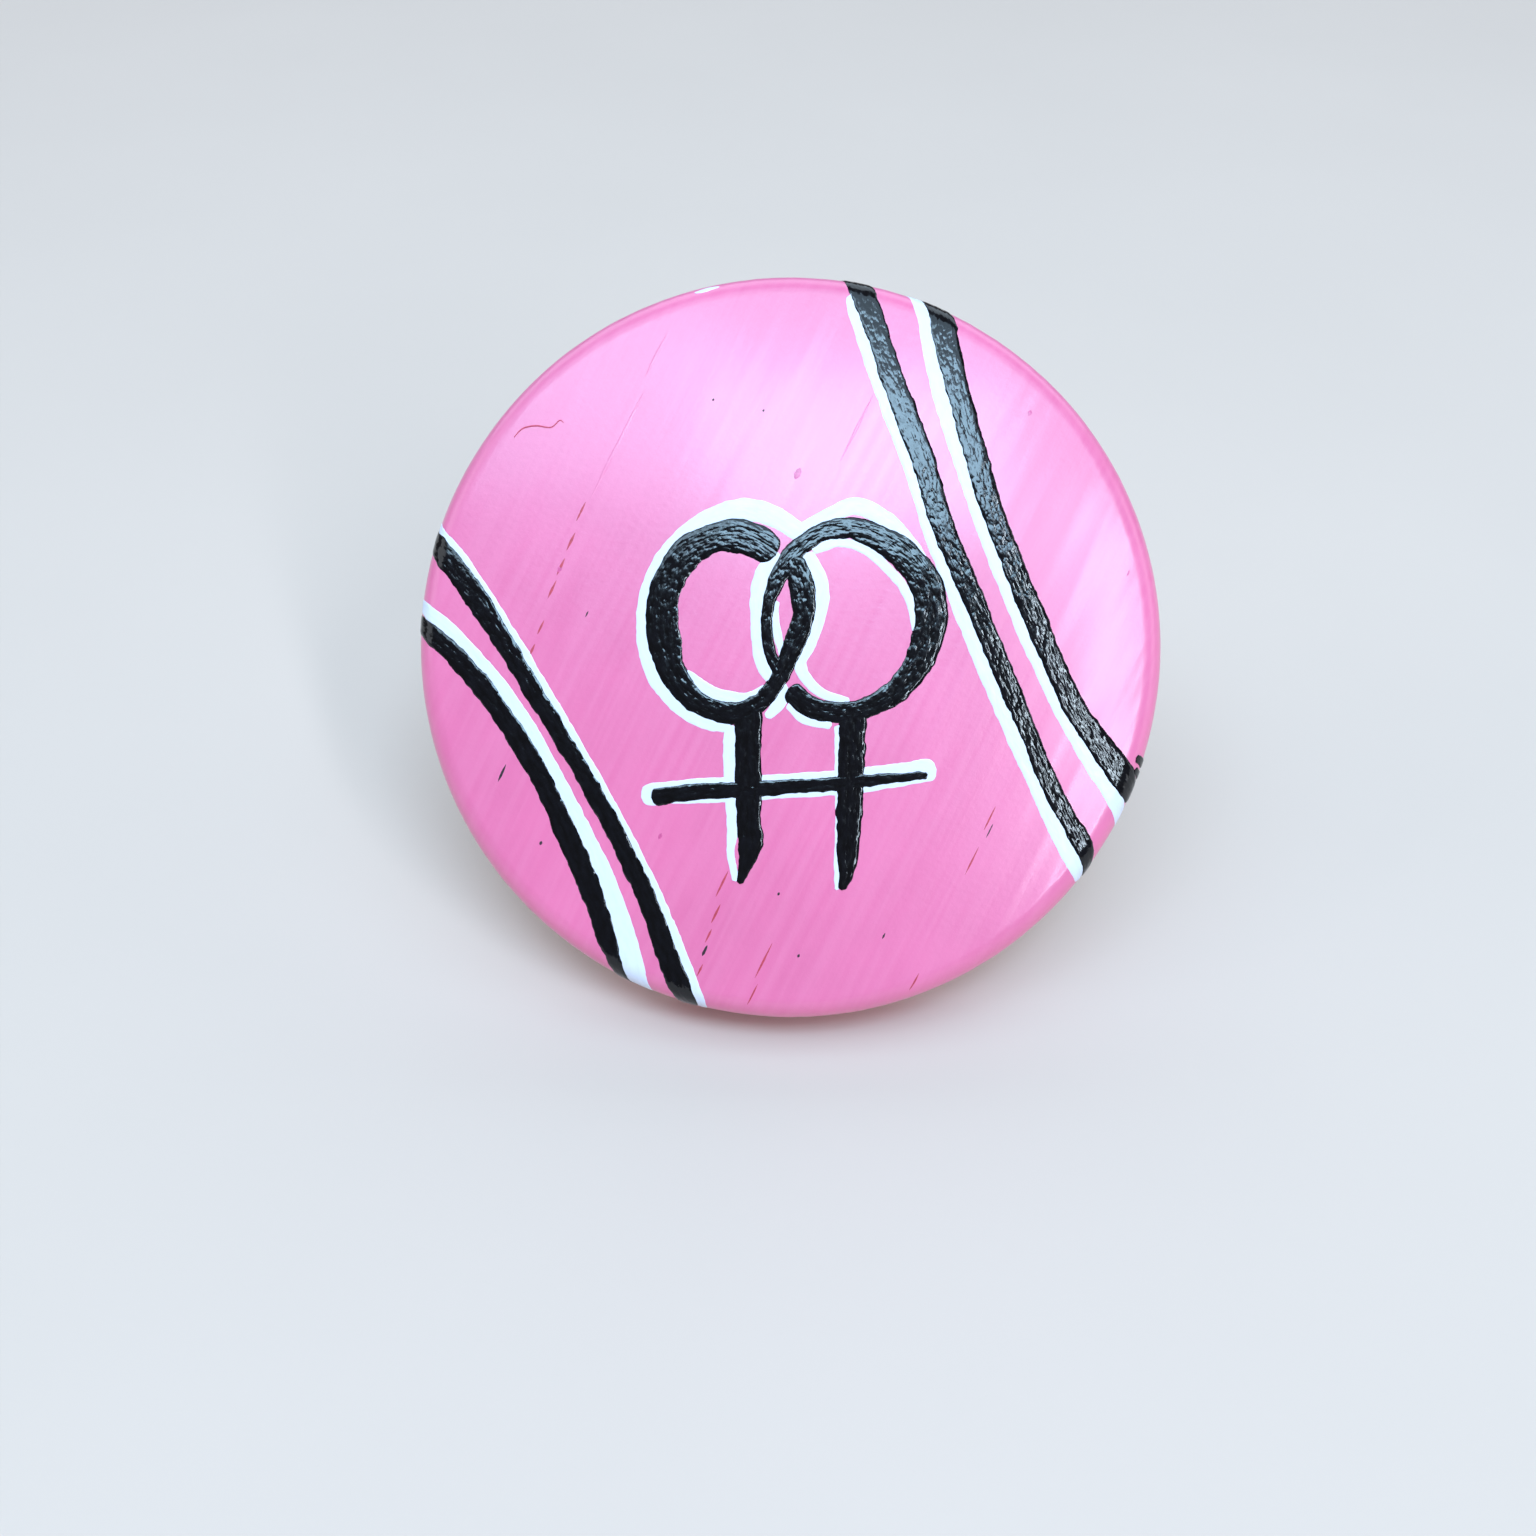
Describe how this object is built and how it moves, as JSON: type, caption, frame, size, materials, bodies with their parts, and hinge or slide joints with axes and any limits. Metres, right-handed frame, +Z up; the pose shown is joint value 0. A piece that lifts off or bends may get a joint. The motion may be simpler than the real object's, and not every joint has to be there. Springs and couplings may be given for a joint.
{
  "type": "pin badge",
  "caption": "Round domed wooden pin badge, painted on the face, with a glued tack post and a butterfly clutch that squeezes and slides off.",
  "frame": {"origin": "middle of the bounding box in plan, on the surface that the leaning badge rests on", "axes": "+Z up, +X to the right of someone looking at the painted face, -Y the way the face looks; the badge leans back at rest"},
  "size_m": [0.03, 0.0238, 0.0242],
  "materials": {
    "bare_wood": "sanded, sealed hardwood",
    "pink_paint": "hand-brushed gloss enamel over wood",
    "white_paint": "gloss paint, brushed lines",
    "black_paint": "gloss paint, brushed lines",
    "epoxy": "clear two-part glue, slightly yellowed",
    "tack_metal": "nickel-plated steel",
    "clutch_metal": "bright brass, light wear",
    "spring_metal": "spring brass strip, satin"
  },
  "bodies": {
    "badge": {"wooden_disc": "bare_wood", "paint_coat": "pink_paint", "glue_bed": "epoxy", "tack_pad": "tack_metal", "tack_post": "tack_metal"},
    "clutch": {"clutch_cup": "clutch_metal", "clutch_spring": "spring_metal"},
    "upper_wing": {"clutch_wing_upper": "spring_metal"},
    "lower_wing": {"clutch_wing_lower": "spring_metal"}
  },
  "joints": [
    {"name": "clutch_slide", "type": "slide", "parent": "badge", "child": "clutch", "axis": [0, 0.7351, -0.678], "range_m": [-0.0025, 0.012]},
    {"name": "upper_wing_squeeze", "type": "hinge", "parent": "clutch", "child": "upper_wing", "pos_m": [0, 0.00822, 0.00886], "axis": [-1, 0, 0], "range_deg": [0, 10], "stiffness_Nm_per_rad": 0.08},
    {"name": "lower_wing_squeeze", "type": "hinge", "parent": "clutch", "child": "lower_wing", "pos_m": [0, 0.00341, 0.00365], "axis": [1, 0, 0], "range_deg": [0, 10], "stiffness_Nm_per_rad": 0.08}
  ],
  "couplings": [
    {"joint": "lower_wing_squeeze", "follows": "upper_wing_squeeze", "ratio": 1}
  ]
}
